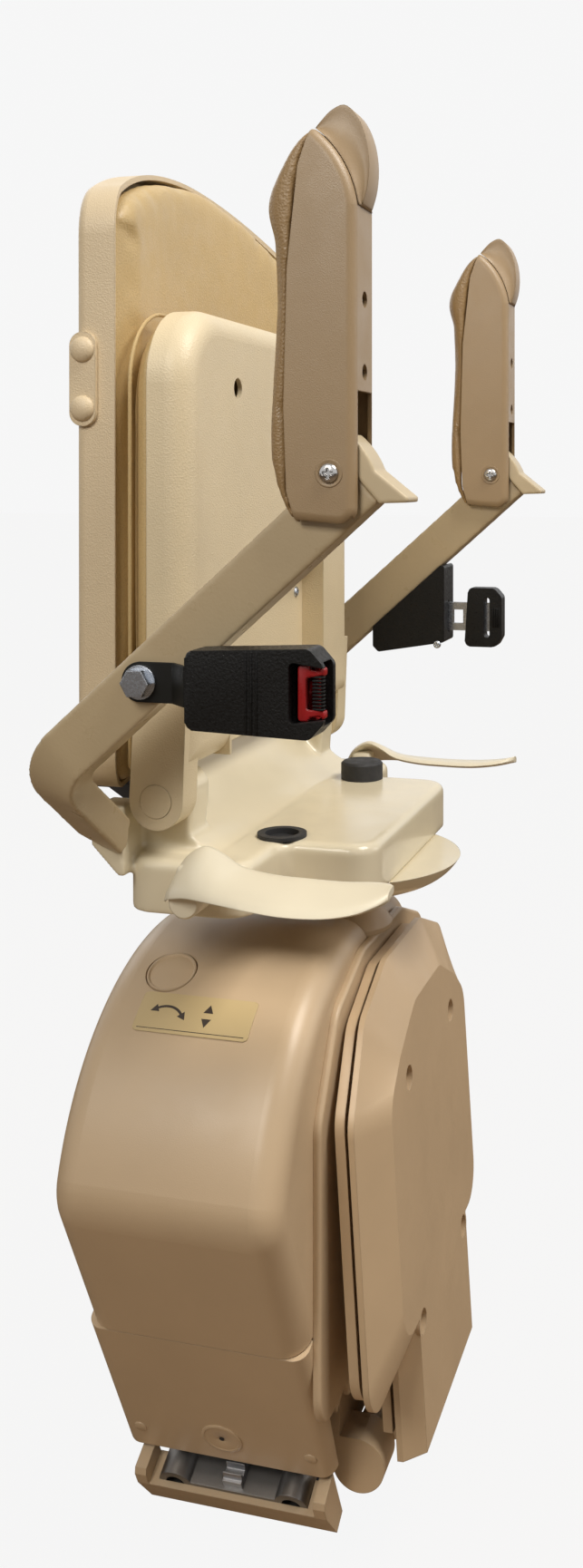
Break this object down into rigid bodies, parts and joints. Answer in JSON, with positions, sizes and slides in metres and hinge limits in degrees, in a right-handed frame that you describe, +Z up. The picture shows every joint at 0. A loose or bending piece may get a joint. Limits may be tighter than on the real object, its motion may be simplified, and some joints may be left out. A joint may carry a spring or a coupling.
{
  "type": "stairlift chair",
  "caption": "Folding stairlift chair on a motor carriage that climbs a sloped rack track, with swivel seat, fold-up armrests and footrest, and a lap belt.",
  "frame": {"origin": "centre of the track foot's floor bolt pattern, on the floor", "axes": "+Z up, -Y the way the sitter faces, +X the way the track climbs"},
  "size_m": [0.595, 0.3184, 1.162],
  "materials": {
    "beige_shell": "fine leather grain, satin",
    "cream_shell": "fine grain, satin",
    "cream_gloss": "smooth, glossy",
    "cream_lever": "smooth, satin",
    "bar_paint": "satin powder coat",
    "tan_vinyl": "grained upholstery vinyl",
    "grip_vinyl": "coarse grained armrest vinyl",
    "carriage_plastic": "smooth, satin",
    "footrest_plastic": "smooth, satin",
    "label": "printed film",
    "black_plastic": "textured",
    "red_plastic": "smooth",
    "black_rubber": "moulded rubber",
    "zinc": "bright zinc plate",
    "chrome": "polished",
    "steel": "machined steel",
    "black_steel": "black paint",
    "aluminium": "extruded, anodised",
    "nylon": "turned nylon",
    "motor_paint": "dark enamel",
    "battery_case": "moulded case"
  },
  "bodies": {
    "track": {"track_rail": "aluminium", "track_rack": "steel", "track_end_cap": "carriage_plastic", "track_foot": "black_steel", "track_foot_bolts": "zinc"},
    "carriage": {"lower_end_cover": "carriage_plastic", "upper_end_cover": "carriage_plastic", "direction_label": "label", "carriage_chassis": "black_steel", "post_socket": "carriage_plastic", "roller_axles": "steel", "drive_gearbox": "motor_paint", "drive_motor": "motor_paint", "battery_pack": "battery_case", "carriage_front_cover": "carriage_plastic", "footrest_bracket": "carriage_plastic", "footrest_hinge_pin": "steel"},
    "hand_winding_cap": {"hand_winding_cap": "carriage_plastic"},
    "lower_safety_flap": {"lower_safety_flap": "carriage_plastic"},
    "upper_safety_flap": {"upper_safety_flap": "carriage_plastic"},
    "lower_axle_rollers": {"lower_axle_rollers": "nylon"},
    "upper_axle_rollers": {"upper_axle_rollers": "nylon"},
    "under_rollers": {"under_rollers": "nylon"},
    "drive_pinion": {"drive_pinion": "steel"},
    "footrest": {"footrest_tray": "footrest_plastic", "pan_screws": "zinc"},
    "footrest_pan": {"footrest_pan": "footrest_plastic"},
    "seat_frame": {"seat_post": "chrome", "swivel_housing": "cream_gloss", "seat_base": "cream_gloss", "seat_hinge_pins": "steel", "seat_buffers": "black_rubber", "right_arm_bar": "bar_paint", "left_arm_bar": "bar_paint", "arm_bar_caps": "beige_shell", "backrest_shell": "beige_shell", "backrest_cushion": "tan_vinyl", "back_bracket": "black_steel", "back_bolt_covers": "beige_shell", "armrest_pivot_screws": "chrome", "buckle_strap": "black_plastic", "buckle_bolt": "zinc", "buckle_body": "black_plastic", "belt_retractor": "black_plastic", "tongue_blade": "zinc", "tongue_grip": "black_plastic"},
    "seat": {"seat_shell": "cream_shell", "seat_cushion": "tan_vinyl", "seat_hinge_caps": "cream_shell"},
    "right_armrest": {"right_armrest_shell": "beige_shell", "right_armrest_pad": "grip_vinyl"},
    "left_armrest": {"left_armrest_shell": "beige_shell", "left_armrest_pad": "grip_vinyl"},
    "right_toggle": {"right_toggle": "beige_shell"},
    "left_toggle": {"left_toggle": "beige_shell"},
    "buckle_button": {"buckle_button": "red_plastic"},
    "swivel_levers": {"lever_shaft": "steel", "right_swivel_lever": "cream_lever", "left_swivel_lever": "cream_lever"}
  },
  "joints": [
    {"name": "carriage_travel", "type": "slide", "parent": "track", "child": "carriage", "axis": [0.891, 0, 0.454], "range_m": [0, 0.1]},
    {"name": "lower_rollers_spin", "type": "hinge", "parent": "carriage", "child": "lower_axle_rollers", "pos_m": [-0.10632, 0, 0.14737], "axis": [0, 1, 0], "range_deg": [-5, 325]},
    {"name": "upper_rollers_spin", "type": "hinge", "parent": "carriage", "child": "upper_axle_rollers", "pos_m": [0.0897, 0, 0.24724], "axis": [0, 1, 0], "range_deg": [-5, 325]},
    {"name": "under_rollers_spin", "type": "hinge", "parent": "carriage", "child": "under_rollers", "pos_m": [0.0183, 0, 0.14509], "axis": [0, 1, 0], "range_deg": [-485, 5]},
    {"name": "pinion_spin", "type": "hinge", "parent": "carriage", "child": "drive_pinion", "pos_m": [-0.008, 0, 0.1967], "axis": [0, 1, 0], "range_deg": [-5, 330]},
    {"name": "winding_cap_pull", "type": "slide", "parent": "carriage", "child": "hand_winding_cap", "axis": [-0.4289, 0, 0.9033], "range_m": [0, 0.02]},
    {"name": "lower_flap_press", "type": "hinge", "parent": "carriage", "child": "lower_safety_flap", "pos_m": [-0.24266, -0.003, 0.23873], "axis": [0, -1, 0], "range_deg": [0, 5], "stiffness_Nm_per_rad": 3, "springref_deg": -5.73},
    {"name": "upper_flap_press", "type": "hinge", "parent": "carriage", "child": "upper_safety_flap", "pos_m": [0.09593, -0.003, 0.41125], "axis": [0, 1, 0], "range_deg": [0, 5], "stiffness_Nm_per_rad": 3, "springref_deg": -5.73},
    {"name": "seat_swivel", "type": "hinge", "parent": "carriage", "child": "seat_frame", "pos_m": [-0.052, -0.06, 0.567], "axis": [0, 0, 1], "range_deg": [-90, 90]},
    {"name": "seat_fold", "type": "hinge", "parent": "seat_frame", "child": "seat", "pos_m": [-0.052, 0.03, 0.652], "axis": [1, 0, 0], "range_deg": [0, 90]},
    {"name": "right_armrest_fold", "type": "hinge", "parent": "seat_frame", "child": "right_armrest", "pos_m": [-0.317, -0.137, 0.9], "axis": [1, 0, 0], "range_deg": [0, 90]},
    {"name": "left_armrest_fold", "type": "hinge", "parent": "seat_frame", "child": "left_armrest", "pos_m": [0.213, -0.137, 0.9], "axis": [1, 0, 0], "range_deg": [0, 90]},
    {"name": "right_toggle_rock", "type": "hinge", "parent": "right_armrest", "child": "right_toggle", "pos_m": [-0.317, -0.07625, 1.0675], "axis": [1, 0, 0], "range_deg": [-3, 3], "stiffness_Nm_per_rad": 12},
    {"name": "left_toggle_rock", "type": "hinge", "parent": "left_armrest", "child": "left_toggle", "pos_m": [0.213, -0.07625, 1.0675], "axis": [1, 0, 0], "range_deg": [-3, 3], "stiffness_Nm_per_rad": 12},
    {"name": "buckle_release", "type": "slide", "parent": "seat_frame", "child": "buckle_button", "axis": [0, 1, 0], "range_m": [0, 0.003], "stiffness_N_per_m": 800, "springref_m": -0.002},
    {"name": "swivel_release", "type": "hinge", "parent": "seat_frame", "child": "swivel_levers", "pos_m": [-0.052, -0.007, 0.588], "axis": [1, 0, 0], "range_deg": [0, 12], "stiffness_Nm_per_rad": 6, "springref_deg": -8.59},
    {"name": "footrest_fold", "type": "hinge", "parent": "carriage", "child": "footrest", "pos_m": [-0.052, -0.096, 0.094], "axis": [1, 0, 0], "range_deg": [0, 93.5]},
    {"name": "footrest_pan_press", "type": "slide", "parent": "footrest", "child": "footrest_pan", "axis": [0, 0.9981, -0.061], "range_m": [0, 0.003], "stiffness_N_per_m": 2000, "springref_m": -0.002}
  ],
  "couplings": [
    {"joint": "lower_rollers_spin", "follows": "carriage_travel", "rad_per_m": 55.556},
    {"joint": "upper_rollers_spin", "follows": "carriage_travel", "rad_per_m": 55.556},
    {"joint": "under_rollers_spin", "follows": "carriage_travel", "rad_per_m": -83.333},
    {"joint": "pinion_spin", "follows": "carriage_travel", "rad_per_m": 56.1}
  ]
}
